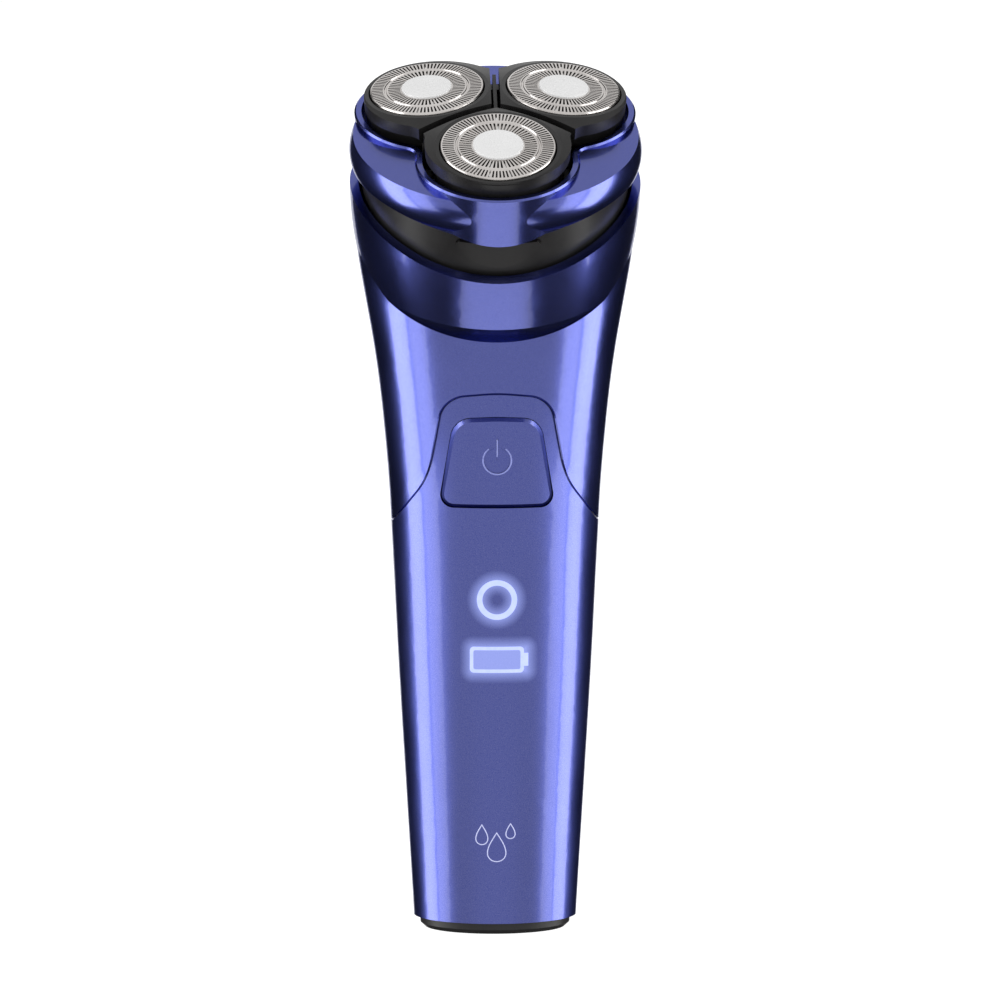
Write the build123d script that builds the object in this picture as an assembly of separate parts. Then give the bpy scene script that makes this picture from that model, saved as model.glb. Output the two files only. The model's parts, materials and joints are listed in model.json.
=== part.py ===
from build123d import *
import math
import os

# Three-headed rotary shaver. Millimetres, +Z up, the front faces -Y.
# The origin is the centre of the flat face that the shaver stands on.

# ---- overall sizes ----
handle_length = 120.0        # rest face to the crease under the collar, at the front
grip_half_width = 18.9       # at the middle of the grip
grip_front = 14.3            # axis to the front of the grip, at its middle
grip_rear = 15.5
base_half_width = 15.9
base_front = 11.6
base_rear = 12.2
shell_wall = 1.7
base_cap_height = 2.4
grip_sections = 14           # evenly spaced cross-sections of the grip
base_cap_inset = 1.2
base_bevel = 0.9
collar_radius = 28.5         # the collar, round the head's own axis
rim_back = 16.5              # rim of the collar below the guards, at the sides and the back
rim_front = 23.2             # and at the front

# ---- head ----
head_cant = 24.5             # degrees that the head leans forward
head_lean = 9.0              # head centre in front of the grip axis
head_rise = 43.2             # head centre above the crease
head_radius = 28.4
head_wall = 1.4
rim_bevel = 0.35
rim_drop = 4.5               # shell rim below the plane of the guards
band_drop = 11.4             # bottom edge of the shell below that plane, at sides and back
chin_drop = 14.9             # and at the front, over the release button
lobe_radius = 16.0
lobe_offset = 13.3           # head axis to the centre of a lobe
valley_fillet = 3.0
wall_lean = 4.0              # degrees that the lobes' walls lean in toward their foot
ridge_drop = 6.0             # ridge of the round band, below the guards
neck_radius = 26.0
neck_wall = 1.5
parting_gap = 0.3

# ---- guards, segments and cutters ----
azimuths = {"front": -90, "right": 30, "left": 150}
disc_pitch = 15.45           # head axis to the centre of a guard
disc_tilt = 5.5              # degrees that each guard leans outward
guard_radius = 11.2
guard_plate = 0.35
guard_skirt = 2.4
guard_proud = 0.4            # guard face above the segment around it
cap_radius = 4.9
cap_height = 0.45
cap_stud = 1.2
groove_radius = 8.2
groove_depth = 0.15
guard_clearance = 0.2
segment_gap = 1.8            # between two segments
segment_thickness = 2.4
segment_slope = 15.0         # degrees that a segment falls away outside the guard
segment_play = 0.7           # to the shell, for the tilt
skirt_wall = 0.8
skirt_drop = 6.5
pivot_drop = 8.6             # tilt axis below the guard face
pivot_pin_radius = 0.9
pivot_reach = 13.8           # guard axis to the end of a pivot pin
running_clearance = 0.06
blade_count = 15
blade_inner = 5.4
blade_outer = 10.2
carrier_stem = 2.7
socket_clearance = 0.4

# ---- drive ----
gear_module = 0.5
pinion_teeth = 21            # a multiple of three, so that all three gears mesh alike
drive_teeth = 37
gear_width = 2.6
gear_backlash = 0.08
pressure_angle = 20.0
shaft_radius = 1.0
spindle_square = 2.0
deck_top = 13.6              # below the plane of the guards
deck_thickness = 1.4
motor_radius = 10.0
motor_flat = 7.6             # motor axis to one of its two flats
motor_length = 22.0
motor_wall = 1.0

# ---- inside the grip ----
battery_radius = 7.0
battery_length = 50.0
battery_bottom = 22.0
battery_set_back = 2.5
board_width = 17.0
board_thickness = 1.2
board_bottom = 14.0
board_top = 106.0
board_front = 8.4            # front face of the board ahead of the axis
board_standoff = 1.0
board_screw = 0.8
chassis_thickness = 1.4
chassis_bottom = 12.0
screw_radius = 1.0
screw_side = 8.8
screw_back = 2.0
pin_radius = 0.7
socket_width = 9.0
socket_depth = 5.6
socket_height = 9.0
socket_set_back = 4.7
socket_wall = 0.9

# ---- controls and lights ----
panel_gap = 0.12
parting_depth = 5.0          # plane between the front and rear shells, behind the axis
rear_cover_top = 126.0
arch_step = 0.8              # how far the panel lies below the shell at the arch
arch_bevel = 0.35
inlay_depth = 0.9
pipe_radius = 0.3
arch_top = 107.8
key_top = 103.3
key_bottom = 85.5
key_gap = 0.1
key_travel = 0.4
power_height = 95.0
symbol_ring = 2.75
symbol_stroke = 0.45
symbol_sink = 0.2
key_bevel = 0.7
ring_height = 67.3
ring_outer = 3.95
ring_inner = 2.85
symbol_height = 55.4
symbol_width = 10.6
symbol_tall = 5.2
symbol_line = 0.7
button_width = 16.2
button_tall = 5.2
button_thickness = 1.6
button_proud = 0.9
button_travel = 1.0
button_clearance = 0.15
seal_radius = 2.3
pillar_radius = 22.0
rotor_radius = 6.0
tip_length = 2.4
frame_bottom = 11.3          # underside of the tray in the head, below the guards
frame_hole = 4.2
bridge_width = 0.7
bridge_drop = 1.7
bridge_reach = 16.2
segment_floor = 3.4
hinge_pin_radius = 0.7
knuckle_radius = 1.5

# ---- worked out ----
head_height = handle_length + head_rise
head_frame = Plane(
    origin=(0, -head_lean, head_height),
    x_dir=(1, 0, 0),
    z_dir=(0, -math.sin(math.radians(head_cant)), math.cos(math.radians(head_cant))),
).location
gear_distance = gear_module * (pinion_teeth + drive_teeth) / 2
deck_bottom = deck_top + deck_thickness
gear_top = deck_bottom + 0.8
gear_bottom = gear_top + gear_width
plate_top = gear_bottom + 0.6
motor_top = plate_top + 1.4
motor_bottom = motor_top + motor_length
pivot_run = disc_pitch - pivot_drop * math.tan(math.radians(disc_tilt))
socket_length = 3.9
socket_bottom = 10.8         # end of a carrier stem below the guard face
hinge_back = neck_radius + 0.9
hinge_drop = band_drop + knuckle_radius + 0.1
big = 200.0


def disc_frame(azimuth):
    """Frame on a guard: x outward from the head axis, z out of the guard's face."""
    return head_frame * Rot(0, 0, azimuth) * Pos(disc_pitch, 0, 0) * Rot(0, disc_tilt, 0)


def spindle_frame(azimuth):
    """Frame of a spindle, with x toward the head axis."""
    return head_frame * Rot(0, 0, azimuth) * Pos(gear_distance, 0, 0) * Rot(0, 0, 180)


def cylinder_between(radius, low, high):
    """Round bar on the local z axis."""
    return Pos(0, 0, low) * Cylinder(radius, high - low, align=(Align.CENTER, Align.CENTER, Align.MIN))


def box_between(x0, x1, y0, y1, z0, z1):
    """Block between two corners."""
    return Pos(x0, y0, z0) * Box(x1 - x0, y1 - y0, z1 - z0, align=(Align.MIN, Align.MIN, Align.MIN))


def ring_between(outer, inner, low, high):
    """Round tube on the local z axis."""
    return cylinder_between(outer, low, high) - cylinder_between(inner, low - 1, high + 1)


# ---- outer form ----

def section(half_width, front, rear, frame):
    """Cross-section of the body: a front and a rear half ellipse of the same width."""
    plane = Plane(frame)
    front_half = Edge.make_ellipse(half_width, front, plane, 180, 360)
    rear_half = Edge.make_ellipse(half_width, rear, plane, 0, 180)
    return Face(Wire([front_half, rear_half]))


def slope_at(stations, k):
    """Change of each size with height at a station, from its neighbours."""
    low = stations[max(k - 1, 0)]
    high = stations[min(k + 1, len(stations) - 1)]
    return [(b - a) / (high[0] - low[0]) for a, b in zip(low[1:], high[1:])]


def between_stations(stations, height):
    """Smooth cubic blend of the stations' sizes at a height."""
    k = max(i for i in range(len(stations) - 1) if stations[i][0] <= height + 1e-9)
    low, high = stations[k], stations[k + 1]
    span = high[0] - low[0]
    t = (height - low[0]) / span
    rise = t * t * (3 - 2 * t)
    leave = span * t * (1 - t) ** 2
    arrive = span * t * t * (t - 1)
    slopes = zip(slope_at(stations, k), slope_at(stations, k + 1))
    return [a + (b - a) * rise + m * leave + n * arrive for a, b, (m, n) in zip(low[1:], high[1:], slopes)]


def grip_solid(inset, dish=0.0):
    """The grip, from the base up into the collar; dish lowers its front under the arch."""
    rim = head_height - band_drop
    stations = [
        (0.0, base_half_width, base_front, base_rear, 0),
        (0.42 * handle_length, grip_half_width, grip_front, grip_rear, 0),
        (0.67 * handle_length, 20.4, 15.6, 17.1, 0),
        (0.80 * handle_length, 21.4, 16.5, 18.2, dish),
        (0.92 * handle_length, 23.0, 16.9, 19.6, dish),
        (1.00 * handle_length, 24.4, 17.4, 21.0, 0),
        (1.08 * handle_length, 26.2, 19.2, 22.8, 0),
        (1.18 * handle_length, 27.8, 22.4, 24.4, 0),
        (rim - 4.0, 28.0, 23.0, 24.5, 0),
        (rim + 8.0, 27.8, 24.0, 22.8, 0),
    ]
    top = stations[-1][0]
    sections = []
    for k in range(grip_sections + 1):
        height = top * k / grip_sections
        half, front, rear, low = between_stations(stations, height)
        sections.append(section(half - inset, front - inset - low, rear - inset, Location((0, 0, height))))
    return loft(sections)


def collar_solid(inset):
    """The collar around the head's axis, with the flare that carries it out of the grip."""
    def at(drop, half, front, rear):
        return section(half - inset, front - inset, rear - inset, head_frame * Pos(0, 0, -drop))

    top = at(10.0, collar_radius - 0.3, collar_radius - 0.1, collar_radius - 0.5)
    rim = at(23.1, collar_radius - 0.4, collar_radius, collar_radius - 1.5)
    crease = at(33.8, collar_radius - 2.2, collar_radius - 0.5, collar_radius - 7.0)
    flare = at(38.8, collar_radius - 4.4, collar_radius - 2.9, collar_radius - 11.0)
    root = at(47.0, collar_radius - 9.0, collar_radius - 9.5, collar_radius - 16.0)
    return loft([top, rim, crease]) + loft([crease, flare, root])


def above(level, flat_end, front, front_level):
    """Everything above a line seen from the side of the head: level at the back, dipping to the front."""
    dip = TangentArc((flat_end, level), (front, front_level), tangent=(-1, 0))
    end = dip @ 1 + (dip % 1) * 20
    rest = Polyline(dip @ 1, end, (end.X, 80), (80, 80), (80, level), (flat_end, level))
    sheet = Plane(origin=(0, 0, 0), x_dir=(0, 1, 0), z_dir=(1, 0, 0))
    return head_frame * extrude(sheet.location * make_face([dip, rest]), 60, both=True)


def above_rim(shift):
    """Everything above the rim of the collar."""
    return above(shift - rim_back, 0, -collar_radius, shift - rim_front)


def above_shell_edge(shift):
    """Everything above the bottom edge of the head shell."""
    return above(shift - band_drop, -0.53 * head_radius, -head_radius, shift - chin_drop)


def arch_outline(offset):
    """Front outline of the panel: the arch, its flaring legs and the base."""
    top = arch_top + offset
    points = [
        (-26, 73.5 + offset), (-13.2 - offset, 91), (-10.4 - offset, top - 1.0), (0, top),
        (10.4 + offset, top - 1.0), (13.2 + offset, 91), (26, 73.5 + offset),
    ]
    arch = FilletPolyline(*points, radius=[16, 5.5, 30, 5.5, 16])
    rest = Polyline(points[-1], (26, -5), (-26, -5), points[0])
    return make_face([arch, rest])


def key_outline(offset):
    """Front outline of the power key."""
    foot = 11.4 + offset
    shoulder = 8.4 + offset
    points = [
        (foot, key_bottom - offset), (shoulder, key_top - 0.4 + offset), (0, key_top + offset),
        (-shoulder, key_top - 0.4 + offset), (-foot, key_bottom - offset),
    ]
    return make_face(FilletPolyline(*points, radius=[2.5, 4.2, 30, 4.2, 2.5], close=True))


def front_prism(face):
    """An outline drawn on the front view, run forward from the parting plane of the shells."""
    sheet = Plane(origin=(0, parting_depth, 0), x_dir=(1, 0, 0), z_dir=(0, -1, 0))
    return extrude(sheet.location * face, 45)


# ---- handle shells ----

def rear_region(gap):
    """The part of the body wall that the rear cover takes."""
    return box_between(-60, 60, parting_depth + gap, 60, -10, rear_cover_top - gap)


def edges_on(shape, faces):
    """Edges of a shape whose middle lies on one of the faces."""
    found = []
    for edge in shape.edges():
        middle = edge.position_at(0.5)
        spot = Vertex(middle.X, middle.Y, middle.Z)
        if min(face.distance_to(spot) for face in faces) < 0.01:
            found.append(edge)
    return found


def on_arch(edge):
    """Whether an outer edge of the front shell belongs to the arch, not to a seam or the rim."""
    middle = edge.position_at(0.5)
    ahead = middle.Y < parting_depth - 0.5 and abs(middle.Y) > 0.01
    return ahead and key_bottom - 15 < middle.Z < arch_top + 1


def make_shells():
    """Front shell with the collar, front panel under the arch, and rear cover."""
    outside = grip_solid(0) + collar_solid(0) - above_rim(0)
    cavity = grip_solid(shell_wall) + collar_solid(shell_wall)
    foot = box_between(-60, 60, -60, 60, -10, base_cap_height)
    wall = outside - cavity - foot
    front = wall - rear_region(0) - front_prism(arch_outline(panel_gap))
    arch_edges = [edge for edge in edges_on(front, outside.faces()) if on_arch(edge)]
    front = chamfer(arch_edges, arch_bevel)
    panel = (panel_solid(0) - grip_solid(shell_wall) - foot) & front_prism(arch_outline(0))
    panel -= front_prism(key_outline(key_gap))
    for pattern in (ring_pattern(), symbol_pattern()):
        panel -= inlay(pattern, 0, inlay_depth)
    for pipes in (ring_pipes(), symbol_pipes()):
        panel -= pipes
    rear = wall & rear_region(panel_gap)
    return front, panel, rear


def panel_solid(inset):
    """Body form with the front dished under the arch."""
    return grip_solid(inset, dish=arch_step)


def power_symbol():
    """Broken ring with a bar through its gap."""
    ring = Circle(symbol_ring) - Circle(symbol_ring - symbol_stroke)
    gap = Pos(0, symbol_ring) * Rectangle(3.4 * symbol_stroke, symbol_ring)
    bar = Pos(0, 0.8 * symbol_ring) * Rectangle(symbol_stroke, 1.6 * symbol_ring)
    return Pos(0, power_height) * (ring - gap + bar)


def make_key():
    """Power key, standing proud of the dished panel, with the power symbol sunk in its face."""
    outer = grip_solid(0)
    key = (outer - grip_solid(shell_wall)) & front_prism(key_outline(0))
    key = chamfer(edges_on(key, outer.faces()), key_bevel)
    key -= front_prism(power_symbol()) & (outer - grip_solid(symbol_sink))
    stem = box_between(-1.2, 1.2, -15.4, -board_front - 1.9, power_height - 1.2, power_height + 1.2)
    return key + stem


# ---- lights in the panel ----

def inlay(pattern, shallow, deep):
    """A front-view pattern as a sheet that follows the panel, between two depths."""
    return (panel_solid(shallow) - panel_solid(deep)) & front_prism(pattern)


def ring_pattern():
    """Ring of the light around the middle of the panel."""
    return Pos(0, ring_height) * (Circle(ring_outer) - Circle(ring_inner))


def symbol_pattern():
    """Outline of a battery with its terminal at the right."""
    body = RectangleRounded(symbol_width, symbol_tall, 0.8)
    body -= RectangleRounded(symbol_width - 2 * symbol_line, symbol_tall - 2 * symbol_line, 0.4)
    nub = Pos(symbol_width / 2 + 0.4, 0) * Rectangle(0.9, symbol_tall * 0.5)
    return Pos(0, symbol_height) * (body + nub)


def pipe(x, z):
    """Round light pipe from the inlay through the panel wall."""
    spot = front_prism(Pos(x, z) * Circle(pipe_radius))
    return spot & (panel_solid(inlay_depth) - grip_solid(shell_wall + 1.2))


def ring_pipes():
    """Light pipes behind the ring."""
    middle = (ring_outer + ring_inner) / 2
    return Part() + [pipe(side * middle, ring_height) for side in (-1, 1)]


def symbol_pipes():
    """Light pipes behind the battery outline."""
    reach = (symbol_width - symbol_line) / 2
    return Part() + [pipe(side * reach, symbol_height) for side in (-1, 1)]


def make_light_guides():
    """The clear inlays of the ring and of the battery outline, each with its light pipes."""
    ring = inlay(ring_pattern(), 0, inlay_depth) + ring_pipes()
    symbol = inlay(symbol_pattern(), 0, inlay_depth) + symbol_pipes()
    return ring, symbol


# ---- base ----

def make_base():
    """Base cap, its seal, the charging socket and the socket's two pins."""
    plug = grip_solid(base_cap_inset) & box_between(-60, 60, -60, 60, 0, base_cap_height)
    bottom_edges = plug.edges().filter_by(lambda edge: edge.center().Z < 0.01)
    plug = chamfer(bottom_edges, base_bevel)
    spigot = grip_solid(shell_wall + 0.15) - grip_solid(shell_wall + 1.4)
    spigot &= box_between(-60, 60, -60, 60, base_cap_height, base_cap_height + 4)
    groove = box_between(-60, 60, -60, 60, base_cap_height + 1.6, base_cap_height + 2.6)
    seal = (grip_solid(shell_wall + 0.02) - grip_solid(shell_wall + 0.75)) & groove
    spigot -= (grip_solid(0) - grip_solid(shell_wall + 0.75)) & groove
    cap = plug + spigot
    holder = socket_block(socket_wall)
    opening = socket_block(0) & box_between(-60, 60, -60, 60, -1, socket_height)
    cap -= holder
    cap -= [Pos(x, screw_back, 0) * cylinder_between(screw_radius + 0.15, -1, 10) for x in (-screw_side, screw_side)]
    cap -= [Pos(x, screw_back, 0) * cylinder_between(2 * screw_radius, -1, 1.3) for x in (-screw_side, screw_side)]
    socket = holder - opening
    pins = [Pos(x, socket_set_back, 0) * cylinder_between(pin_radius, 2.5, socket_height + 2.5) for x in (-2.2, 2.2)]
    for pin in pins:
        socket -= pin
    return cap, seal, socket, Compound(children=pins)


def socket_block(grow):
    """Rounded block of the charging socket, its cavity when grow is nought."""
    outline = Pos(0, socket_set_back) * RectangleRounded(
        socket_width + 2 * grow, socket_depth + 2 * grow, 1.4 + grow
    )
    return extrude(outline, socket_height + grow + 0.6)


def make_base_screws():
    """Two screws through the base cap into the chassis."""
    screws = []
    for x in (-screw_side, screw_side):
        head = cylinder_between(1.9 * screw_radius, 0.3, 1.3)
        head -= box_between(-0.25, 0.25, -3, 3, 0, 0.8)
        shank = cylinder_between(screw_radius, 1.3, chassis_bottom + 5)
        screws.append(Pos(x, screw_back, 0) * (head + shank))
    return Compound(children=screws)


# ---- inside the grip ----

def battery_frame():
    """Foot of the battery cell."""
    return Pos(0, battery_set_back, battery_bottom)


def make_chassis():
    """Plate behind the board, with saddles for the cell, posts and a foot for the base screws."""
    face = -board_front + board_thickness + board_standoff
    back = face + chassis_thickness
    half = board_width / 2
    plate = box_between(-half, half, face, back, chassis_bottom, board_top)
    for height in (battery_bottom + 4, battery_bottom + battery_length - 7):
        saddle = box_between(-half, half, back, battery_set_back, height, height + 3)
        plate += saddle
    plate -= battery_frame() * cylinder_between(battery_radius, -1, battery_length + 1)
    foot_half = screw_side + 2.2
    foot = box_between(-foot_half, foot_half, face, screw_back + 2.4, chassis_bottom, chassis_bottom + 1.8)
    foot -= socket_block(socket_wall + 0.3)
    plate += foot
    for x in (-screw_side, screw_side):
        boss = Pos(x, screw_back, 0) * cylinder_between(1.1 + screw_radius, chassis_bottom, chassis_bottom + 6)
        plate += boss
        plate -= Pos(x, screw_back, 0) * cylinder_between(screw_radius, chassis_bottom - 1, chassis_bottom + 5)
    for x, z in board_corners():
        plate += board_post(x, z, 1.6, face - board_standoff, face)
        plate -= board_post(x, z, board_screw, face - board_standoff - 1, back)
    return plate


def board_corners():
    """Where the board is screwed to the chassis."""
    side = board_width / 2 - 2.2
    return [(x, z) for x in (-side, side) for z in (board_bottom + 6, board_top - 4)]


def board_post(x, z, radius, front, back):
    """Round bar along Y on a board corner."""
    sheet = Plane(origin=(x, front, z), x_dir=(1, 0, 0), z_dir=(0, 1, 0))
    return sheet.location * cylinder_between(radius, 0, back - front)


def make_board():
    """Circuit board, its four screws, the tact switch and the light-emitting diodes."""
    half = board_width / 2
    front = -board_front
    back = front + board_thickness
    board = box_between(-half, half, front, back, board_bottom, board_top)
    screws = []
    for x, z in board_corners():
        board -= board_post(x, z, board_screw, front - 1, back + 1)
        head = board_post(x, z, 1.5, front - 0.8, front)
        screws.append(head + board_post(x, z, board_screw, front, back + board_standoff + 1))
    switch = box_between(-2, 2, front - 1.3, front, power_height - 2, power_height + 2)
    plunger = Plane(origin=(0, front - 1.3, power_height), x_dir=(1, 0, 0), z_dir=(0, -1, 0)).location
    switch += plunger * cylinder_between(0.8, 0, 0.15)
    middle = (ring_outer + ring_inner) / 2
    reach = (symbol_width - symbol_line) / 2
    spots = [(-middle, ring_height), (middle, ring_height), (-reach, symbol_height), (reach, symbol_height)]
    diodes = [box_between(x - 0.8, x + 0.8, front - 0.6, front, z - 0.4, z + 0.4) for x, z in spots]
    return board, Compound(children=screws), switch, Compound(children=diodes)


def make_battery():
    """The cell and its two welded tabs."""
    cell = battery_frame() * cylinder_between(battery_radius, 0, battery_length)
    cell = fillet(cell.edges(), 0.6)
    cell += battery_frame() * cylinder_between(2.0, battery_length, battery_length + 0.8)
    tabs = []
    for low in (battery_bottom - 0.3, battery_bottom + battery_length + 0.8):
        strip = box_between(-2, 2, battery_set_back - 4, battery_set_back + 4, low, low + 0.3)
        tabs.append(strip)
    return cell, Compound(children=tabs)


# ---- neck and drive, on the head's axis ----

def hinge_bar(radius, low, high):
    """Round bar on the hinge axis at the back of the neck, between two x places."""
    sheet = Plane(origin=(low, hinge_back, -hinge_drop), x_dir=(0, 1, 0), z_dir=(1, 0, 0))
    return sheet.location * cylinder_between(radius, 0, high - low)


def make_neck():
    """Black ring between the collar and the head, with the pocket of the release button."""
    tube = ring_between(neck_radius, neck_radius - neck_wall, -30, -8)
    knuckle = hinge_bar(knuckle_radius, -2.6, 2.6)
    web = box_between(-2.6, 2.6, neck_radius - 1, hinge_back + 0.4, -hinge_drop - 1.4, -hinge_drop + 0.9)
    tube = head_frame * tube - above_shell_edge(-parting_gap)
    tube &= above_rim(-2.2)
    tube += head_frame * (knuckle + web)
    tube -= head_frame * hinge_bar(hinge_pin_radius, -3, 3)
    for low, high in ((-7.3, -2.6), (2.6, 7.3)):
        tube -= head_frame * hinge_bar(knuckle_radius + 0.25, low, high)
    tube -= head_frame * button_block(button_clearance)
    return tube


def button_block(grow):
    """Half oval of the release button, run outward through the front of the neck."""
    top = -chin_drop - parting_gap - 0.15 + grow
    shoulder = top - 0.8
    half = button_width / 2 + grow
    low = top - button_tall - 2 * grow
    lower = ThreePointArc((half, shoulder), (0, low), (-half, shoulder))
    upper = Polyline((-half, shoulder), (-half + 0.6, top), (half - 0.6, top), (half, shoulder))
    sheet = Plane(origin=(0, 4 - neck_radius, 0), x_dir=(1, 0, 0), z_dir=(0, -1, 0))
    return extrude(sheet.location * make_face([lower, upper]), 8)


def make_release_button():
    """Push button at the front of the neck."""
    outer = neck_radius + button_proud
    skin = ring_between(outer, outer - button_thickness, -30, -8)
    return head_frame * (button_block(0) & skin)


def make_deck():
    """Plate across the neck that carries the spindles, and the seals around them."""
    deck = cylinder_between(neck_radius - neck_wall, -deck_bottom, -deck_top)
    seals = []
    for azimuth in azimuths.values():
        spot = Rot(0, 0, azimuth) * Pos(gear_distance, 0, 0)
        deck -= spot * cylinder_between(shaft_radius + running_clearance, -deck_bottom - 1, -deck_top + 1)
        collar = ring_between(seal_radius, shaft_radius + running_clearance, -deck_top, -deck_top + 0.8)
        seals.append(head_frame * (spot * collar))
    return head_frame * deck, Compound(children=seals)


def make_gear_plate():
    """Plate under the gears: lower spindle bearings, and the seat of the motor."""
    plate = cylinder_between(neck_radius - neck_wall - 0.3, -plate_top - 1.4, -plate_top)
    plate -= cylinder_between(shaft_radius + 0.6, -plate_top - 2, 0)
    for azimuth in azimuths.values():
        spot = Rot(0, 0, azimuth) * Pos(gear_distance, 0, 0)
        plate -= spot * cylinder_between(shaft_radius + running_clearance, -plate_top - 2, 0)
        pillar = Rot(0, 0, azimuth + 60) * Pos(pillar_radius, 0, 0)
        plate += pillar * cylinder_between(1.6, -plate_top, -deck_bottom)
    return head_frame * plate


def motor_outline(inset):
    """Round can with two flats, at the front and the back."""
    side = motor_flat - inset
    return Circle(motor_radius - inset) & Rectangle(3 * motor_radius, 2 * side)


def make_motor():
    """Motor can, its end cap, the rotor and the shaft."""
    can = extrude(motor_outline(0), motor_length) - extrude(motor_outline(motor_wall), motor_length - motor_wall)
    can -= cylinder_between(shaft_radius + running_clearance, 0, motor_length + 1)
    cap = extrude(motor_outline(motor_wall), 2.0) - cylinder_between(shaft_radius + running_clearance, -1, 5)
    for x in (-5, 5):
        cap += box_between(x - 1, x + 1, -0.3, 0.3, -2.5, 0)
    rotor = cylinder_between(rotor_radius, 4.0, motor_length - motor_wall - 1.5)
    rotor -= cylinder_between(shaft_radius, 0, motor_length)
    rotor -= [Rot(0, 0, turn) * box_between(rotor_radius - 2, rotor_radius + 1, -0.5, 0.5, 0, motor_length)
              for turn in (0, 120, 240)]
    foot = head_frame * Pos(0, 0, -motor_bottom)
    shaft = head_frame * cylinder_between(shaft_radius, -motor_bottom + 0.6, -gear_top + 0.3)
    return foot * can, foot * cap, foot * rotor, shaft


# ---- gears ----

def involute_gear(teeth, width, bore):
    """Spur gear with involute flanks; a tooth faces +x."""
    pitch = gear_module * teeth / 2
    base = pitch * math.cos(math.radians(pressure_angle))
    tip = pitch + gear_module
    root = pitch - 1.25 * gear_module
    spread = math.tan(math.radians(pressure_angle)) - math.radians(pressure_angle)
    half_pitch = (math.pi * gear_module / 2 - gear_backlash) / 2 / pitch

    def flank(radius):
        """Half angle of a tooth at a radius."""
        roll = math.acos(min(1.0, base / radius))
        return half_pitch + spread - (math.tan(roll) - roll)

    start = max(base, root)
    steps = [start + (tip - start) * k / 4 for k in range(5)]
    outline = []
    for tooth in range(teeth):
        middle = 2 * math.pi * tooth / teeth

        def spot(radius, angle):
            """Point on the tooth at a radius and an angle off its middle."""
            return (radius * math.cos(middle + angle), radius * math.sin(middle + angle))

        rising = [spot(radius, -flank(radius)) for radius in steps]
        falling = [spot(radius, flank(radius)) for radius in reversed(steps)]
        foot = spot(root, -flank(start))
        outline += [Line(foot, rising[0])] if root < start - 0.001 else []
        outline.append(Spline(*rising))
        outline.append(ThreePointArc(rising[-1], spot(tip, 0), falling[0]))
        outline.append(Spline(*falling))
        end = spot(root, flank(start))
        outline += [Line(falling[-1], end)] if root < start - 0.001 else []
        half_gap = math.pi / teeth
        next_foot = spot(root, 2 * half_gap - flank(start))
        outline.append(ThreePointArc(end, spot(root, half_gap), next_foot))
    gear = extrude(make_face(outline), width)
    return gear - cylinder_between(bore, -1, width + 1)


def make_pinion():
    """Pinion on the motor shaft, with a gap toward each drive gear."""
    gear = involute_gear(pinion_teeth, gear_width, shaft_radius)
    facing_gap = Rot(0, 0, azimuths["front"] + 180 / pinion_teeth)
    return head_frame * Pos(0, 0, -gear_bottom) * facing_gap * gear


def make_drive_gear(azimuth):
    """Gear on a spindle, with a tooth toward the pinion and lightening holes."""
    gear = involute_gear(drive_teeth, gear_width, shaft_radius)
    holes = [Rot(0, 0, 60 * k + 30) * Pos(5.4, 0, 0) * cylinder_between(1.6, -1, gear_width + 1) for k in range(6)]
    return spindle_frame(azimuth) * Pos(0, 0, -gear_bottom) * (gear - holes)


def make_spindle(azimuth):
    """Round spindle with a square tip that carries a cutter."""
    shaft = cylinder_between(shaft_radius, -plate_top - 1.4, -deck_top + 1.6)
    square = Rectangle(spindle_square, spindle_square)
    tip = Pos(0, 0, -deck_top + 1.6) * extrude(square & Circle(1.25), tip_length)
    return spindle_frame(azimuth) * (shaft + tip)


# ---- head ----

def lobes(inset):
    """Three overlapping circles with their valleys rounded, drawn inward by an inset."""
    trefoil = Circle(lobe_offset / 2) + [
        Rot(0, 0, azimuth) * Pos(lobe_offset, 0) * Circle(lobe_radius - inset) for azimuth in azimuths.values()
    ]
    return fillet(trefoil.vertices(), valley_fillet + inset)


def make_head_shell():
    """Blue shell: three lobes at the rim that grow out of a round band below."""
    foot = rim_drop + 14.0
    top = rim_drop + 0.2
    band_profile = [
        Polyline((0, -top), (lobe_offset + 4, -top), (head_radius - 0.6, -ridge_drop)),
        Spline(
            (head_radius - 0.6, -ridge_drop), (head_radius, -ridge_drop - 4.5), (head_radius - 1.0, -band_drop - 1.6),
        ),
        Polyline((head_radius - 1.0, -band_drop - 1.6), (head_radius - 1.4, -foot), (0, -foot), (0, -top)),
    ]
    shell = revolve(Plane.XZ.location * make_face(band_profile), Axis.Z) + head_room(-head_wall, -rim_drop)
    rim_edges = shell.edges().filter_by(lambda edge: abs(edge.center().Z + rim_drop) < 0.01)
    shell = chamfer(rim_edges, rim_bevel)
    shell -= head_room(0, 10)
    shell -= cylinder_between(neck_radius + 0.35, -40, -band_drop)
    return (head_frame * shell & above_shell_edge(0)) + head_frame * shell_knuckles()


def shell_knuckles():
    """The two hinge knuckles of the head shell."""
    knuckles = Part()
    for low, high in ((-7.0, -2.85), (2.85, 7.0)):
        bar = hinge_bar(knuckle_radius, low, high)
        web = box_between(low, high, neck_radius + 0.4, hinge_back + 1.2, -hinge_drop, -band_drop + 1.0)
        knuckles += (bar + web) - hinge_bar(hinge_pin_radius + running_clearance, low - 1, high + 1)
    return knuckles


def head_room(play, top):
    """Inside of the head shell less a play all round, from its foot up to a height."""
    foot = -band_drop - 6.0
    lean = math.tan(math.radians(wall_lean))
    low = lobes(head_wall + play + (-rim_drop - foot) * lean)
    high = lobes(head_wall + play - (top + rim_drop) * lean)
    return loft([Pos(0, 0, foot) * low, Pos(0, 0, top) * high], ruled=True)


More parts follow.
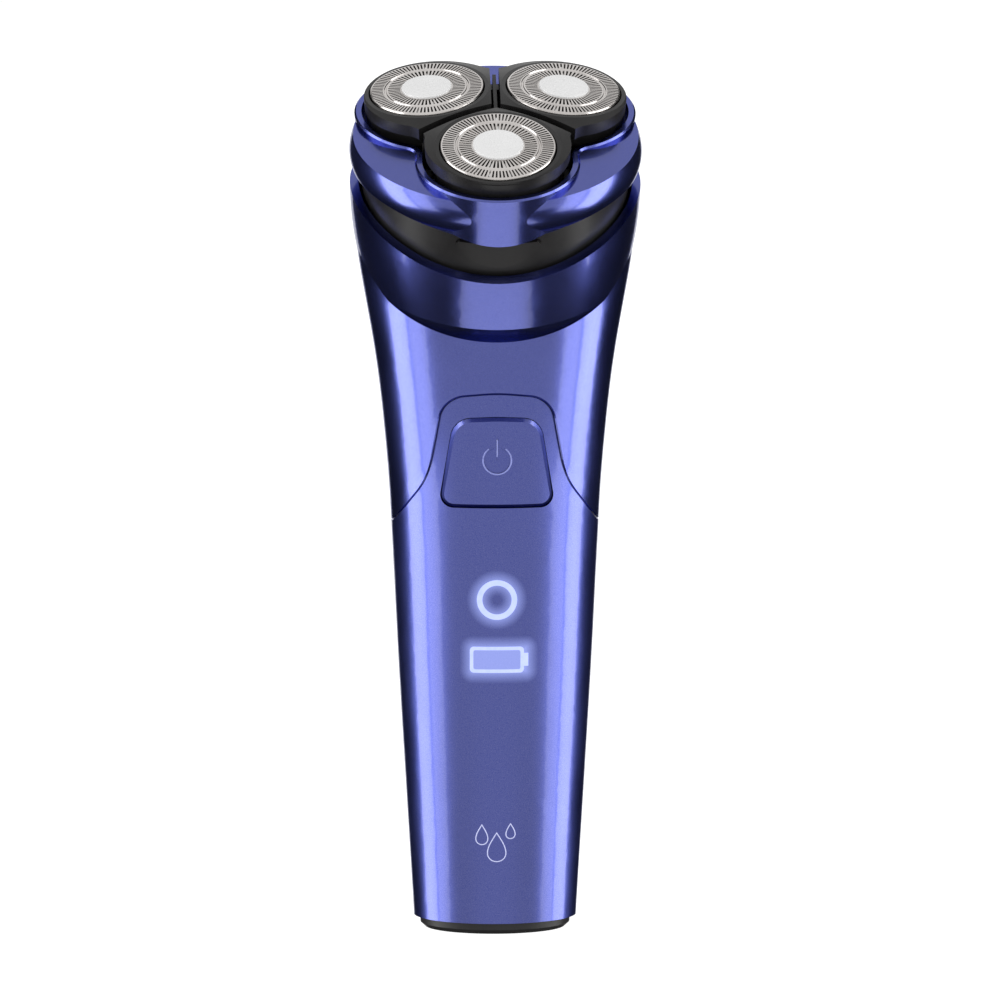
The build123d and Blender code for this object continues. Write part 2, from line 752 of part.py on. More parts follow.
def make_cutter_frame():
    """Tray in the head: floor with a hole for each carrier, and ears for the segments."""
    floor = head_room(0.05, 10) & cylinder_between(neck_radius - 1.2, -frame_bottom, -frame_bottom + 1.2)
    ears = Part()
    for azimuth in azimuths.values():
        hole = Rot(0, 0, azimuth) * Pos(gear_distance, 0, 0) * cylinder_between(frame_hole, -40, 0)
        floor -= hole
        for side in (-1, 1):
            near = side * (pivot_reach - 1.05)
            far = side * (pivot_reach - 0.05)
            ear = box_between(-1.9, 1.9, min(near, far), max(near, far), -frame_bottom, -pivot_drop + 1.8)
            spot = Rot(0, 0, azimuth) * Pos(pivot_run, 0, 0)
            ears += spot * ear
    frame = floor + (ears & head_room(0.05, 10))
    frame = head_frame * frame
    for azimuth in azimuths.values():
        bore = pivot_bar(pivot_pin_radius + running_clearance, -pivot_reach - 2, pivot_reach + 2)
        frame -= disc_frame(azimuth) * bore
    return frame


def pivot_bar(radius, low, high):
    """Round bar on a segment's tilt axis, in the guard's frame."""
    sheet = Plane(origin=(0, low, -pivot_drop), x_dir=(1, 0, 0), z_dir=(0, 1, 0))
    return sheet.location * cylinder_between(radius, 0, high - low)


def make_bridge():
    """Three-armed bridge that shows in the gaps between the segments."""
    arms = Part()
    for azimuth in azimuths.values():
        turn = Rot(0, 0, azimuth + 60)
        arms += turn * box_between(0, bridge_reach, -bridge_width / 2, bridge_width / 2, -bridge_drop - 3.0, -bridge_drop)
        arms += turn * box_between(bridge_reach - 2.2, bridge_reach, -0.9, 0.9, -frame_bottom + 1.2, -segment_floor - 0.5)
        arms += turn * box_between(bridge_reach - 2.2, bridge_reach, -bridge_width / 2, bridge_width / 2,
                                   -segment_floor - 0.6, -bridge_drop)
    return head_frame * arms


# ---- segments, guards and cutters ----

def segment_sector(gap):
    """Third of the lobes' room, with half a gap taken off each side; it opens along +x."""
    apex = gap / 2 / math.sin(math.radians(60))
    reach = 60.0
    spread = reach * math.tan(math.radians(60))
    wedge = make_face(Polyline((apex, 0), (apex + reach, spread), (apex + reach, -spread), (apex, 0)))
    return Pos(0, 0, -40) * extrude(wedge, 60)


def make_segment(azimuth):
    """Black segment around a guard: sloped top, skirt and two pivot pins."""
    frame = disc_frame(azimuth)
    slope = math.tan(math.radians(segment_slope))
    flat = guard_radius + 1.0
    reach = 20.0
    top = -guard_proud
    profile = [
        (0, top), (flat, top), (flat + reach, top - slope * reach),
        (flat + reach, top - slope * reach - segment_thickness), (flat, top - segment_thickness),
        (0, top - segment_thickness),
    ]
    dome = revolve(Plane.XZ.location * make_face(Polyline(*profile, profile[0])), Axis.Z)
    room = head_room(segment_play, 10) & Rot(0, 0, azimuth) * segment_sector(segment_gap)
    plate = (frame * dome) & (head_frame * room)
    hole = cylinder_between(guard_radius + guard_clearance, -40, 10)
    skirt_outer = guard_radius + guard_clearance + skirt_wall
    skirt = ring_between(skirt_outer, guard_radius + guard_clearance, -skirt_drop, top - 0.5)
    bosses = ring_between(skirt_outer, guard_radius + guard_clearance, -pivot_drop - 1.2, top - 0.5)
    skirt += bosses & box_between(-1.6, 1.6, -20, 20, -20, 0)
    pins = pivot_bar(pivot_pin_radius, skirt_outer - 0.4, pivot_reach)
    pins += pivot_bar(pivot_pin_radius, -pivot_reach, 0.4 - skirt_outer)
    return (plate - frame * hole) + frame * (skirt + pins)


def make_guard(azimuth):
    """Slotted cup that touches the skin, drawn here without its slots, and its centre cap."""
    cup = cylinder_between(guard_radius, -guard_skirt, 0)
    cup = fillet(cup.edges().group_by(Axis.Z)[-1], 0.25)
    cup -= cylinder_between(guard_radius - guard_plate, -guard_skirt - 1, -guard_plate)
    cup -= ring_between(groove_radius + 0.2, groove_radius - 0.2, -groove_depth, 1)
    cap = cylinder_between(cap_radius, 0, cap_height)
    cap = fillet(cap.edges().group_by(Axis.Z)[-1], 0.25)
    cap += cylinder_between(cap_stud, -guard_plate - 0.4, 0)
    cup -= cylinder_between(cap_stud, -guard_skirt, 1)
    frame = disc_frame(azimuth)
    return frame * cup, frame * cap


def make_cutter(azimuth):
    """Ring of upright blades, and the carrier that a spindle turns."""
    blade_top = -guard_plate - 0.06
    ring_top = -2.3
    blades = ring_between(blade_outer, blade_inner, ring_top - 0.4, ring_top)
    for k in range(blade_count):
        outer = box_between(blade_outer - 2.0, blade_outer - 0.15, -0.25, 0.25, ring_top - 0.2, blade_top)
        inner = box_between(blade_inner + 0.15, blade_inner + 1.8, -0.25, 0.25, ring_top - 0.2, blade_top)
        blades += Rot(0, 0, 360 * k / blade_count) * (outer + inner)
    carrier = cylinder_between(blade_outer - 0.6, ring_top - 1.4, ring_top - 0.4)
    carrier += cylinder_between(blade_inner - 0.05, ring_top - 0.4, ring_top)
    carrier += cylinder_between(carrier_stem, -socket_bottom, ring_top - 1.4)
    side = spindle_square + 2 * socket_clearance
    socket = Pos(0, 0, -socket_bottom) * extrude(Rectangle(side, side), socket_length)
    carrier -= socket
    frame = disc_frame(azimuth) * Rot(0, 0, 180)
    return frame * blades, frame * carrier


def make_hinge_pin():
    """Pin through the neck's knuckle, on which the head opens."""
    return head_frame * hinge_bar(hinge_pin_radius, -6.9, 6.9)


def main():
    """Write every sub-part."""
    nodes = {}
    nodes["front_shell"], nodes["front_panel"], nodes["rear_cover"] = make_shells()
    nodes["power_key"] = make_key()
    nodes["ring_light_guide"], nodes["battery_light_guide"] = make_light_guides()
    nodes["base_cap"], nodes["base_seal"], nodes["charging_socket"], nodes["charging_pins"] = make_base()
    nodes["base_screws"] = make_base_screws()
    nodes["chassis"] = make_chassis()
    nodes["circuit_board"], nodes["board_screws"], nodes["tact_switch"], nodes["status_leds"] = make_board()
    nodes["battery_cell"], nodes["battery_tabs"] = make_battery()
    nodes["neck_ring"] = make_neck()
    nodes["release_button"] = make_release_button()
    nodes["head_hinge_pin"] = make_hinge_pin()
    nodes["spindle_deck"], nodes["spindle_seals"] = make_deck()
    nodes["gear_plate"] = make_gear_plate()
    nodes["motor_can"], nodes["motor_end_cap"], nodes["motor_rotor"], nodes["motor_shaft"] = make_motor()
    nodes["sun_pinion"] = make_pinion()
    nodes["head_shell"] = make_head_shell()
    nodes["cutter_frame"] = make_cutter_frame()
    nodes["centre_bridge"] = make_bridge()
    for side, azimuth in azimuths.items():
        nodes["drive_gear_" + side] = make_drive_gear(azimuth)
        nodes["spindle_" + side] = make_spindle(azimuth)
        nodes["segment_" + side] = make_segment(azimuth)
        nodes["guard_" + side], nodes["guard_cap_" + side] = make_guard(azimuth)
        nodes["cutter_blades_" + side], nodes["cutter_carrier_" + side] = make_cutter(azimuth)
    os.makedirs("parts", exist_ok=True)
    for name, shape in nodes.items():
        export_step(shape, "parts/" + name + ".step")


main()
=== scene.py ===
import json
import math

import bmesh
import bpy
from mathutils import Matrix, Vector


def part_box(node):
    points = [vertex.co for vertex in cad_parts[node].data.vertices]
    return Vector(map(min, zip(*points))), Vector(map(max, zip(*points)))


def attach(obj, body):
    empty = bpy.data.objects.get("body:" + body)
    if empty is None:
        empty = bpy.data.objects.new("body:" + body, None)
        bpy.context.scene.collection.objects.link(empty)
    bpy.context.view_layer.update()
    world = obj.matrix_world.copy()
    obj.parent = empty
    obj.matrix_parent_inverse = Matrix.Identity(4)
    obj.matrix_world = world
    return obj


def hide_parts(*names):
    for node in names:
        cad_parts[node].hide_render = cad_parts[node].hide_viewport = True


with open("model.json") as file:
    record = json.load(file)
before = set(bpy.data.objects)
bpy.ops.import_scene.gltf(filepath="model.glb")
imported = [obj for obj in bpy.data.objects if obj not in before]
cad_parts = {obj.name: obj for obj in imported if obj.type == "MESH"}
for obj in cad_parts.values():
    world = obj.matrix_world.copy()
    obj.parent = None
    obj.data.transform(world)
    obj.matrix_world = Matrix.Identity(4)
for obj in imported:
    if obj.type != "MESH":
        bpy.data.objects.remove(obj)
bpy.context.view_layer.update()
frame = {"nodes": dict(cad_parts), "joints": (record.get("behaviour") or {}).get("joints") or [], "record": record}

# ---- the frame's own places ----
nodes = frame["nodes"]
slots = {part["node"]: part["material_slot"] for part in frame["record"]["subparts"]}
paints = {entry["slot"]: entry["base_color"] for entry in frame["record"]["materials"]}
joints = {joint["name"]: joint for joint in frame["joints"]}
heads = ("front", "right", "left")
mm = 0.001

# ---- guards ----
rim_slots = 90               # slots in the outer ring of a guard
hub_slots = 60               # slots in the inner ring
plate = 0.35 * mm            # thickness of the slotted steel
divisions = 360              # steps round a guard
hub_start = 5.15 * mm        # inner ring of slots
hub_end = 7.55 * mm
groove_start = 7.85 * mm
groove_end = 8.35 * mm
groove_side = 0.13 * mm
groove_depth = 0.14 * mm
rim_start = 8.55 * mm        # outer ring of slots
rim_margin = 0.45 * mm       # from the end of the outer slots to the edge of the guard

# ---- camera ----
camera_distance = 1.40
camera_elevation = 7.5
camera_yaw = 1.6             # degrees that the camera stands to the left
camera_lens = 256.0
aim_height = 0.085

# ---- studio ----
strip_azimuth = 85.0         # degrees round from the front
strip_distance = 0.8
strip_width = 0.34
strip_height = 1.6
strip_middle = 0.1
strip_radiance = 4.3
fill_azimuth = 61.0          # weaker lights in front of the strips
fill_width = 0.24
fill_radiance = 2.3
card_near = 101.0            # dark cards, from beside the strips to behind the object
card_far = 160.0
card_distance = 0.95
card_height = 1.2
apron_height = -0.40         # dark cards under the floor, with a window in front
apron_reach = 0.9
window_half_width = 0.30
window_start = 0.60          # in front of the object
under_height = -0.25         # lit card under the floor, for the underside of the collar
under_half_width = 0.20
under_near = 0.12
under_far = 0.34
under_radiance = 1.8

# ---- colours, linear ----
blue = (0.045, 0.062, 0.300)
edge_blue = (0.30, 0.34, 0.75)  # the lacquer seen at a slant
black = (0.0075, 0.0070, 0.0072)
cap_shade = (0.58, 0.58, 0.58)
glow = (0.42, 0.50, 1.0)
# painted highlight: the power sign's line is paler than the key's blue lacquer, standing in for light caught on the
# edge of its groove
symbol_highlight_color = (0.16, 0.18, 0.42)
drop_shade = (0.42, 0.44, 0.66)
steel = (0.56, 0.53, 0.51)

# ---- signs and lights on the front ----
symbol_share = 0.53          # height of the power sign on its key
symbol_radius = 2.75 * mm
symbol_opening = 35          # degrees each side of the top where the ring is open
symbol_bar = 4.1 * mm
symbol_line = 0.17 * mm      # radius of the line
symbol_proud = 0.08 * mm     # its middle ahead of the groove's floor
drops_height = 15.0 * mm     # foot of the lowest drop
drop_line = 0.13 * mm
drop_sunk = 0.08 * mm        # middle of the line behind the panel's face
halo = 2.6 * mm              # width of the glow round the light guides
halo_strength = 0.60
ring_middle = 0.86           # middle of the ring light, as a share of its outer radius
symbol_core = (0.90, 0.85)   # lit part of the battery sign, as shares of its half width and height


# ---- material helpers ----

def new_material(name):
    """New material, with its node tree and its shader."""
    material = bpy.data.materials.new(name)
    material.use_nodes = True
    tree = material.node_tree
    shader = tree.nodes["Principled BSDF"]
    return material, tree, shader


def object_place(tree):
    """Coordinates in the part's own frame, in metres."""
    return tree.nodes.new("ShaderNodeTexCoord").outputs["Object"]


def noise(tree, scale, detail=3.0, roughness=0.5, stretch=(1, 1, 1)):
    """Noise over the part, scale in features per metre, stretched along the axes."""
    mapping = tree.nodes.new("ShaderNodeMapping")
    mapping.inputs["Scale"].default_value = stretch
    tree.links.new(object_place(tree), mapping.inputs["Vector"])
    node = tree.nodes.new("ShaderNodeTexNoise")
    node.inputs["Scale"].default_value = scale
    node.inputs["Detail"].default_value = detail
    node.inputs["Roughness"].default_value = roughness
    tree.links.new(mapping.outputs["Vector"], node.inputs["Vector"])
    return node.outputs["Fac"]


def spread(tree, value, low, high, start=0.3, end=0.7):
    """Value between start and end mapped to low .. high."""
    node = tree.nodes.new("ShaderNodeMapRange")
    node.inputs["From Min"].default_value = start
    node.inputs["From Max"].default_value = end
    node.inputs["To Min"].default_value = low
    node.inputs["To Max"].default_value = high
    tree.links.new(value, node.inputs["Value"])
    return node.outputs["Result"]


def mixed(tree, factor, first, second):
    """Colour between two colours."""
    node = tree.nodes.new("ShaderNodeMix")
    node.data_type = "RGBA"
    node.inputs["A"].default_value = (*first, 1)
    node.inputs["B"].default_value = (*second, 1)
    tree.links.new(factor, node.inputs["Factor"])
    return node.outputs["Result"]


def add_bump(tree, shader, height, strength, distance):
    """Fine relief from a height value."""
    node = tree.nodes.new("ShaderNodeBump")
    node.inputs["Strength"].default_value = strength
    node.inputs["Distance"].default_value = distance
    tree.links.new(height, node.inputs["Height"])
    tree.links.new(node.outputs["Normal"], shader.inputs["Normal"])


def lighter(color, share):
    """Colour moved toward white by a share."""
    return tuple(c + (1 - c) * share for c in color)


def darker(color, share):
    """Colour with a share taken away."""
    return tuple(c * (1 - share) for c in color)


# ---- materials ----

def lacquer(name, color, roughness, coat=0.7):
    """Metallic lacquer: fine flakes under a clear coat."""
    material, tree, shader = new_material(name)
    flakes = noise(tree, 9000, 2.0)
    clouds = noise(tree, 60, 2.0)
    tint = mixed(tree, spread(tree, flakes, 0, 1), darker(color, 0.12), lighter(color, 0.05))
    tree.links.new(tint, shader.inputs["Base Color"])
    tree.links.new(spread(tree, clouds, roughness - 0.03, roughness + 0.03), shader.inputs["Roughness"])
    shader.inputs["Metallic"].default_value = 1.0
    shader.inputs["Specular Tint"].default_value = (*edge_blue, 1)
    shader.inputs["Coat Weight"].default_value = coat
    shader.inputs["Coat Roughness"].default_value = 0.09
    add_bump(tree, shader, flakes, 0.12, 0.00001)
    return material


def moulded(name, color, roughness, grain=2600, depth=0.15, gloss=0.3, stain=0.012):
    """Moulded plastic with a fine grain and slight wear in its gloss."""
    material, tree, shader = new_material(name)
    grains = noise(tree, grain, 4.0, 0.6)
    wear = noise(tree, 140, 4.0, 0.6)
    tint = mixed(tree, spread(tree, wear, 0, 1), darker(color, 4 * stain), lighter(color, stain / 3))
    tree.links.new(tint, shader.inputs["Base Color"])
    tree.links.new(spread(tree, wear, roughness - 0.05, roughness + 0.05), shader.inputs["Roughness"])
    shader.inputs["Specular IOR Level"].default_value = gloss
    add_bump(tree, shader, grains, depth, 0.00003)
    return material


def rubber(name, color):
    """Soft-touch rubber: matt, pebbled, with a faint sheen."""
    material, tree, shader = new_material(name)
    pebbles = tree.nodes.new("ShaderNodeTexVoronoi")
    pebbles.inputs["Scale"].default_value = 2200
    tree.links.new(object_place(tree), pebbles.inputs["Vector"])
    wear = noise(tree, 90, 4.0, 0.6)
    tint = mixed(tree, spread(tree, wear, 0, 1), color, lighter(color, 0.005))
    tree.links.new(tint, shader.inputs["Base Color"])
    tree.links.new(spread(tree, wear, 0.52, 0.66), shader.inputs["Roughness"])
    shader.inputs["Sheen Weight"].default_value = 0.15
    add_bump(tree, shader, pebbles.outputs["Distance"], 0.35, 0.00006)
    return material


def metal(name, color, roughness, grain_stretch=(1, 1, 12), grain=1500):
    """Drawn or ground metal with fine lines."""
    material, tree, shader = new_material(name)
    lines = noise(tree, grain, 3.0, 0.6, grain_stretch)
    stains = noise(tree, 120, 3.0)
    tint = mixed(tree, spread(tree, stains, 0, 1), darker(color, 0.10), lighter(color, 0.10))
    tree.links.new(tint, shader.inputs["Base Color"])
    tree.links.new(spread(tree, lines, roughness - 0.06, roughness + 0.06), shader.inputs["Roughness"])
    shader.inputs["Metallic"].default_value = 1.0
    add_bump(tree, shader, lines, 0.08, 0.00002)
    return material


def glowing(name, color, strength):
    """Frosted light guide, lit from behind, a little brighter in patches of its frost."""
    material, tree, shader = new_material(name)
    frost = noise(tree, 900, 2.0)
    shader.inputs["Base Color"].default_value = (*darker(color, 0.75), 1)
    tree.links.new(spread(tree, frost, 0.3, 0.45), shader.inputs["Roughness"])
    tint = mixed(tree, spread(tree, frost, 0, 1), color, lighter(color, 0.12))
    tree.links.new(tint, shader.inputs["Emission Color"])
    shader.inputs["Emission Strength"].default_value = strength
    return material


def near_guides(tree):
    """Glow round the two light guides, from 1 at their edge to 0 outside the halo."""
    split = tree.nodes.new("ShaderNodeSeparateXYZ")
    tree.links.new(object_place(tree), split.inputs["Vector"])
    ring_low, ring_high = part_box("ring_light_guide")
    ring_centre = (ring_low + ring_high) / 2
    ring_radius = (ring_high.x - ring_low.x) / 2
    symbol_low, symbol_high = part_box("battery_light_guide")
    symbol_centre = (symbol_low + symbol_high) / 2
    symbol_half = (symbol_high - symbol_low) / 2

    def calc(kind, first, second=None):
        node = tree.nodes.new("ShaderNodeMath")
        node.operation = kind
        for k, value in enumerate((first, second)):
            if value is None:
                continue
            if isinstance(value, (int, float)):
                node.inputs[k].default_value = value
            else:
                tree.links.new(value, node.inputs[k])
        return node.outputs["Value"]

    def length(first, second):
        return calc("SQRT", calc("ADD", calc("MULTIPLY", first, first), calc("MULTIPLY", second, second)))

    ring_x = calc("SUBTRACT", split.outputs["X"], ring_centre.x)
    ring_z = calc("SUBTRACT", split.outputs["Z"], ring_centre.z)
    from_ring = calc("ABSOLUTE", calc("SUBTRACT", length(ring_x, ring_z), ring_middle * ring_radius))
    side_x = calc("ABSOLUTE", calc("SUBTRACT", split.outputs["X"], symbol_centre.x))
    side_z = calc("ABSOLUTE", calc("SUBTRACT", split.outputs["Z"], symbol_centre.z))
    past_x = calc("MAXIMUM", calc("SUBTRACT", side_x, symbol_core[0] * symbol_half.x), 0.0)
    past_z = calc("MAXIMUM", calc("SUBTRACT", side_z, symbol_core[1] * symbol_half.z), 0.0)
    from_symbol = length(past_x, past_z)
    nearest = calc("MINIMUM", from_ring, from_symbol)
    share = calc("SUBTRACT", 1.0, calc("MINIMUM", calc("DIVIDE", nearest, halo), 1.0))
    front = calc("LESS_THAN", split.outputs["Y"], 0.0)
    return calc("MULTIPLY", calc("POWER", share, 1.2), front)


def make_materials():
    """One material for each slot of the record."""
    made = {}
    made["blue_lacquer"] = lacquer("blue_lacquer", blue, 0.24)
    made["blue_lacquer_panel"] = lacquer("blue_lacquer_panel", blue, 0.30)
    tree = made["blue_lacquer_panel"].node_tree
    shader = tree.nodes["Principled BSDF"]
    shader.inputs["Emission Color"].default_value = (*glow, 1)
    strength = spread(tree, near_guides(tree), 0.0, halo_strength, 0.0, 1.0)
    tree.links.new(strength, shader.inputs["Emission Strength"])
    made["black_grip"] = rubber("black_grip", black)
    made["seal_rubber"] = rubber("seal_rubber", black)
    for slot in ("black_plastic", "chamber_black", "carrier_plastic"):
        made[slot] = moulded(slot, black, 0.42)
    for slot in ("neck_black", "button_black", "segment_black"):
        made[slot] = moulded(slot, black, 0.34, grain=4000, depth=0.08, gloss=0.22)
    for slot in ("white_plastic", "gear_plastic"):
        made[slot] = moulded(slot, paints[slot], 0.5)
    made["board_green"] = moulded("board_green", paints["board_green"], 0.35, grain=900)
    made["light_lens"] = moulded("light_lens", paints["light_lens"], 0.15)
    made["light_guide"] = glowing("light_guide", glow, 0.95)
    made["cell_wrap"] = moulded("cell_wrap", paints["cell_wrap"], 0.22, grain=600, depth=0.05)
    made["cap_white"] = moulded("cap_white", cap_shade, 0.28, grain=5000, depth=0.05)
    for slot in ("contact_brass", "screw_steel", "nickel_strip", "motor_steel", "blade_steel"):
        made[slot] = metal(slot, paints[slot], 0.25)
    made["rotor_iron"] = metal("rotor_iron", paints["rotor_iron"], 0.5)
    made["guard_steel"] = metal("guard_steel", steel, 0.16, (1, 1, 1), 4000)
    return made


# ---- shapes ----

def new_piece(name, mesh, body, material, smooth=True):
    """Object from a mesh, riding on a body and taking the given material."""
    piece = bpy.data.objects.new(name, mesh)
    bpy.context.scene.collection.objects.link(piece)
    mesh.materials.clear()
    mesh.materials.append(material)
    for face in mesh.polygons:
        face.use_smooth = smooth
    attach(piece, body)
    return piece


def guard_frame(side):
    """Place of a guard, with its origin in the middle of its face and +Z outward; its radius; its height."""
    spin = joints[f"cutter_{side}_spin"]
    outward = Vector(spin["axis"]).normalized()
    if outward.z < 0:
        outward = -outward
    centre = Vector(spin["pos_m"])
    offsets = [vertex.co - centre for vertex in nodes[f"guard_{side}"].data.vertices]
    levels = [offset.dot(outward) for offset in offsets]
    face = max(levels)
    foot = min(levels)
    rim = max((offset - level * outward).length for offset, level in zip(offsets, levels))
    across = Vector((1, 0, 0))
    across = (across - across.dot(outward) * outward).normalized()
    place = Matrix.Identity(4)
    for row in range(3):
        place[row][0] = across[row]
        place[row][1] = outward.cross(across)[row]
        place[row][2] = outward[row]
        place[row][3] = (centre + face * outward)[row]
    return place, rim, face - foot


def guard_profile(rim, height):
    """Radius, height and kind of ring at each step from under the cap to the foot of the skirt."""
    return [
        (4.6 * mm, 0.0, "plain"),
        (hub_start, 0.0, "hub"),
        (5.9 * mm, 0.0, "hub"),
        (6.8 * mm, 0.0, "hub"),
        (hub_end, 0.0, "plain"),
        (groove_start, 0.0, "plain"),
        (groove_start + groove_side, -groove_depth, "plain"),
        (groove_end - groove_side, -groove_depth, "plain"),
        (groove_end, 0.0, "plain"),
        (rim_start, 0.0, "rim"),
        (9.3 * mm, 0.0, "rim"),
        (10.1 * mm, 0.0, "rim"),
        (rim - rim_margin, -0.02 * mm, "plain"),
        (rim - 0.18 * mm, -0.08 * mm, "plain"),
        (rim - 0.05 * mm, -0.2 * mm, "plain"),
        (rim, -0.42 * mm, "plain"),
        (rim, -height, "end"),
    ]


def open_here(kind, step):
    """True where a slot goes through the steel."""
    if kind == "rim":
        period = divisions // rim_slots
    elif kind == "hub":
        period = divisions // hub_slots
    else:
        return False
    return step % period >= period // 2


def make_guard(side, material):
    """Steel cup with two rings of slots that go right through."""
    place, rim, height = guard_frame(side)
    profile = guard_profile(rim, height)
    shape = bmesh.new()
    rings = []
    for radius, level, kind in profile:
        ring = []
        for step in range(divisions):
            turn = math.tau * step / divisions
            ring.append(shape.verts.new((radius * math.cos(turn), radius * math.sin(turn), level)))
        rings.append(ring)
    for k in range(len(profile) - 1):
        for step in range(divisions):
            if open_here(profile[k][2], step):
                continue
            after = (step + 1) % divisions
            shape.faces.new((rings[k][step], rings[k + 1][step], rings[k + 1][after], rings[k][after]))
    bmesh.ops.delete(shape, geom=[v for v in shape.verts if not v.link_faces], context="VERTS")
    bmesh.ops.recalc_face_normals(shape, faces=shape.faces)
    mesh = bpy.data.meshes.new(f"slotted_guard_{side}")
    shape.to_mesh(mesh)
    shape.free()
    mesh.transform(place)
    top = max(mesh.polygons, key=lambda face: face.center.dot(place.col[2].xyz))
    if top.normal.dot(place.col[2].xyz) < 0:
        mesh.flip_normals()
    piece = new_piece(f"slotted_guard_{side}", mesh, f"float_{side}", material, smooth=False)
    thick = piece.modifiers.new("thickness", "SOLIDIFY")
    thick.thickness = plate
    thick.offset = -1
    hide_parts(f"guard_{side}")
    return piece


def on_surface(node, x, z, proud):
    """Point on the front of a CAD node, a little proud of it."""
    far = 0.2
    hit, place, _, _ = nodes[node].ray_cast(Vector((x, -far, z)), Vector((0, 1, 0)))
    if not hit:
        raise ValueError(f"nothing of {node} in front of x {x}, z {z}")
    return place - Vector((0, proud, 0))


def fine_line(name, node, body, material, paths, radius, proud):
    """Fine raised lines on the front of a node: each path is points (x, z) and closed or not."""
    data = bpy.data.curves.new(name, "CURVE")
    data.dimensions = "3D"
    data.bevel_depth = radius
    data.bevel_resolution = 2
    for points, closed in paths:
        line = data.splines.new("POLY")
        line.points.add(len(points) - 1)
        line.use_cyclic_u = closed
        for k, (x, z) in enumerate(points):
            line.points[k].co = (*on_surface(node, x, z, proud), 1)
    data.materials.append(material)
    piece = bpy.data.objects.new(name, data)
    bpy.context.scene.collection.objects.link(piece)
    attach(piece, body)
    return piece


def arc_path(x, z, radius, start, end, steps):
    """Points on an arc; 0 degrees is up."""
    turns = [math.radians(start + (end - start) * k / steps) for k in range(steps + 1)]
    return [(x + radius * math.sin(turn), z + radius * math.cos(turn)) for turn in turns]


def drop_path(x, bottom, width, height, steps=36):
    """Closed outline of a water drop with its point up."""
    points = []
    for k in range(steps):
        turn = math.tau * k / steps
        across = 0.62 * width * math.sin(turn) * math.sin(turn / 2) ** 1.3
        points.append((x + across, bottom + height * (1 + math.cos(turn)) / 2))
    return points


def add_symbols():
    """Power sign in the key's groove, and three drops low on the panel."""
    key_low, key_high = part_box("power_key")
    middle = (key_low.x + key_high.x) / 2
    height = key_low.z + symbol_share * (key_high.z - key_low.z)
    ring = arc_path(middle, height, symbol_radius, symbol_opening, 360 - symbol_opening, 48)
    bar = [(middle, height + k * symbol_bar / 6) for k in range(1, 7)]
    # the power sign's line takes a paler colour as a painted highlight of the groove's lit edge, not as print
    symbol_highlight = moulded("symbol_painted_highlight", symbol_highlight_color, 0.3, grain=3000, depth=0.05)
    fine_line("power_sign", "power_key", "power_key", symbol_highlight,
              [(ring, False), (bar, False)], symbol_line, symbol_proud)
    pale = moulded("drop_print", drop_shade, 0.35, grain=3000, depth=0.05)
    drops = [
        (drop_path(middle, drops_height, 4.0 * mm, 5.8 * mm), True),
        (drop_path(middle - 2.9 * mm, drops_height + 3.4 * mm, 2.6 * mm, 4.0 * mm), True),
        (drop_path(middle + 2.7 * mm, drops_height + 4.6 * mm, 2.0 * mm, 3.0 * mm), True),
    ]
    fine_line("drop_sign", "front_panel", "handle", pale, drops, drop_line, -drop_sunk)


# ---- stage ----

def stage_sheet(name, corners, material):
    """Flat sheet for the floor or a card, not part of the object."""
    mesh = bpy.data.meshes.new(name)
    mesh.from_pydata(corners, [], [tuple(range(len(corners)))])
    mesh.materials.append(material)
    piece = bpy.data.objects.new(name, mesh)
    bpy.context.scene.collection.objects.link(piece)
    return piece


def stage_material(name, shade, glow):
    """Plain paper for the floor and the cards."""
    material, tree, shader = new_material(name)
    shader.inputs["Base Color"].default_value = (shade, shade, shade, 1)
    shader.inputs["Roughness"].default_value = 0.9
    shader.inputs["Emission Color"].default_value = (1, 1, 1, 1)
    shader.inputs["Emission Strength"].default_value = glow
    return material


def level_card(name, low, high, height, material):
    """Level rectangle between two corners (x, y)."""
    around_it = [(low[0], low[1]), (high[0], low[1]), (high[0], high[1]), (low[0], high[1])]
    return stage_sheet(name, [(x, y, height) for x, y in around_it], material)


def add_stage():
    """White paper floor, and cards that only the object's reflections see."""
    floor_reach = 3.0
    floor = level_card("floor", (-floor_reach, -floor_reach), (floor_reach, floor_reach), 0,
                       stage_material("paper", 0.3, 0.92))
    floor.visible_glossy = False
    floor.visible_shadow = False
    felt = stage_material("felt", 0.01, 0.0)
    cards = []
    for side in (-1, 1):
        near = around(side * card_near, card_distance)
        far = around(side * card_far, card_distance)
        cards.append(stage_sheet(f"flag_{side}", [(near.x, near.y, -card_height), (far.x, far.y, -card_height),
                                                  (far.x, far.y, card_height), (near.x, near.y, card_height)], felt))
        cards.append(level_card(f"apron_{side}", (side * window_half_width, -apron_reach),
                                (side * apron_reach, apron_reach), apron_height, felt))
    cards.append(level_card("apron", (-window_half_width, -window_start), (window_half_width, apron_reach),
                            apron_height, felt))
    cards.append(level_card("under_card", (-under_half_width, -under_far), (under_half_width, -under_near),
                            under_height, stage_material("under_paper", 0.01, under_radiance)))
    for card in cards:
        card.visible_camera = False


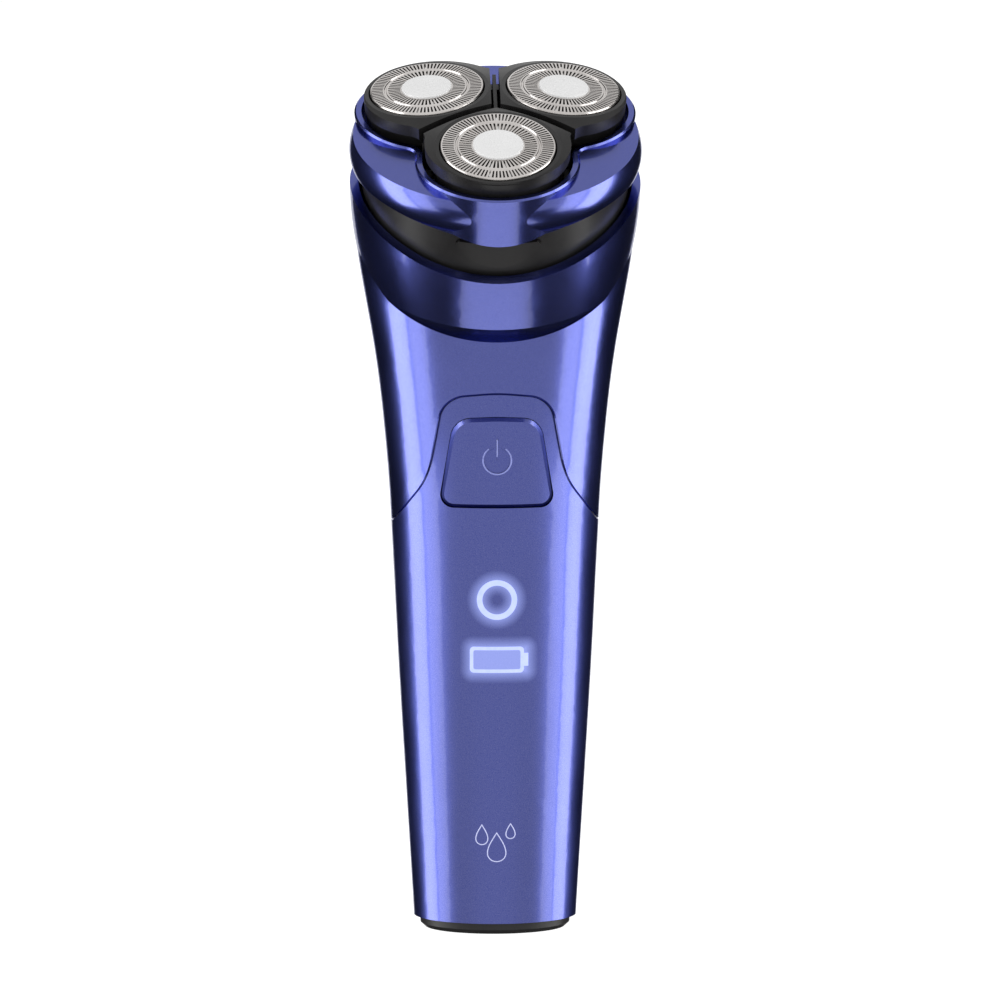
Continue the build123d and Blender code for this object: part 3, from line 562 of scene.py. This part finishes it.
def around(azimuth, distance):
    """Point round the object; azimuth 0 is in front, and 90 on the right."""
    turn = math.radians(azimuth)
    return Vector((distance * math.sin(turn), -distance * math.cos(turn), 0))


def add_softbox(name, place, aim, width, height, radiance, color=(1, 1, 1)):
    """Rectangular studio light that faces a point."""
    light = bpy.data.lights.new(name, "AREA")
    light.shape = "RECTANGLE"
    light.size = width
    light.size_y = height
    light.energy = radiance * math.pi * width * height
    light.color = color
    box = bpy.data.objects.new(name, light)
    bpy.context.scene.collection.objects.link(box)
    box.location = place
    box.rotation_euler = (Vector(aim) - Vector(place)).to_track_quat("-Z", "Y").to_euler()
    box.visible_camera = False
    return box


def add_lights():
    """Tall soft lights at both sides, in a white room."""
    for side in (-1, 1):
        for name, azimuth, width, radiance in (
            ("strip", strip_azimuth, strip_width, strip_radiance),
            ("fill", fill_azimuth, fill_width, fill_radiance),
        ):
            place = around(side * azimuth, strip_distance) + Vector((0, 0, strip_middle))
            add_softbox(f"{name}_{side}", place, (0, 0, place.z), width, strip_height, radiance)
    world = bpy.data.worlds.new("studio")
    bpy.context.scene.world = world
    world.use_nodes = True
    background = world.node_tree.nodes["Background"]
    background.inputs["Color"].default_value = (1, 1, 1, 1)
    background.inputs["Strength"].default_value = 1.0


def add_camera():
    """Long lens a little above the middle of the object."""
    data = bpy.data.cameras.new("camera")
    data.lens = camera_lens
    data.sensor_width = 36.0
    camera = bpy.data.objects.new("camera", data)
    bpy.context.scene.collection.objects.link(camera)
    aim = Vector((0.001, 0, aim_height))
    yaw = math.radians(camera_yaw)
    rise = math.radians(camera_elevation)
    back = Vector((-math.sin(yaw) * math.cos(rise), -math.cos(yaw) * math.cos(rise), math.sin(rise)))
    camera.location = aim + camera_distance * back
    camera.rotation_euler = (-back).to_track_quat("-Z", "Y").to_euler()
    data.clip_end = 20
    bpy.context.scene.camera = camera


# ---- the shaver ----

materials = make_materials()
for node, piece in nodes.items():
    piece.data.materials.clear()
    piece.data.materials.append(materials[slots[node]])
for side in heads:
    make_guard(side, materials["guard_steel"])
add_symbols()
add_stage()
add_lights()
add_camera()
bpy.context.scene.view_settings.view_transform = "Standard"
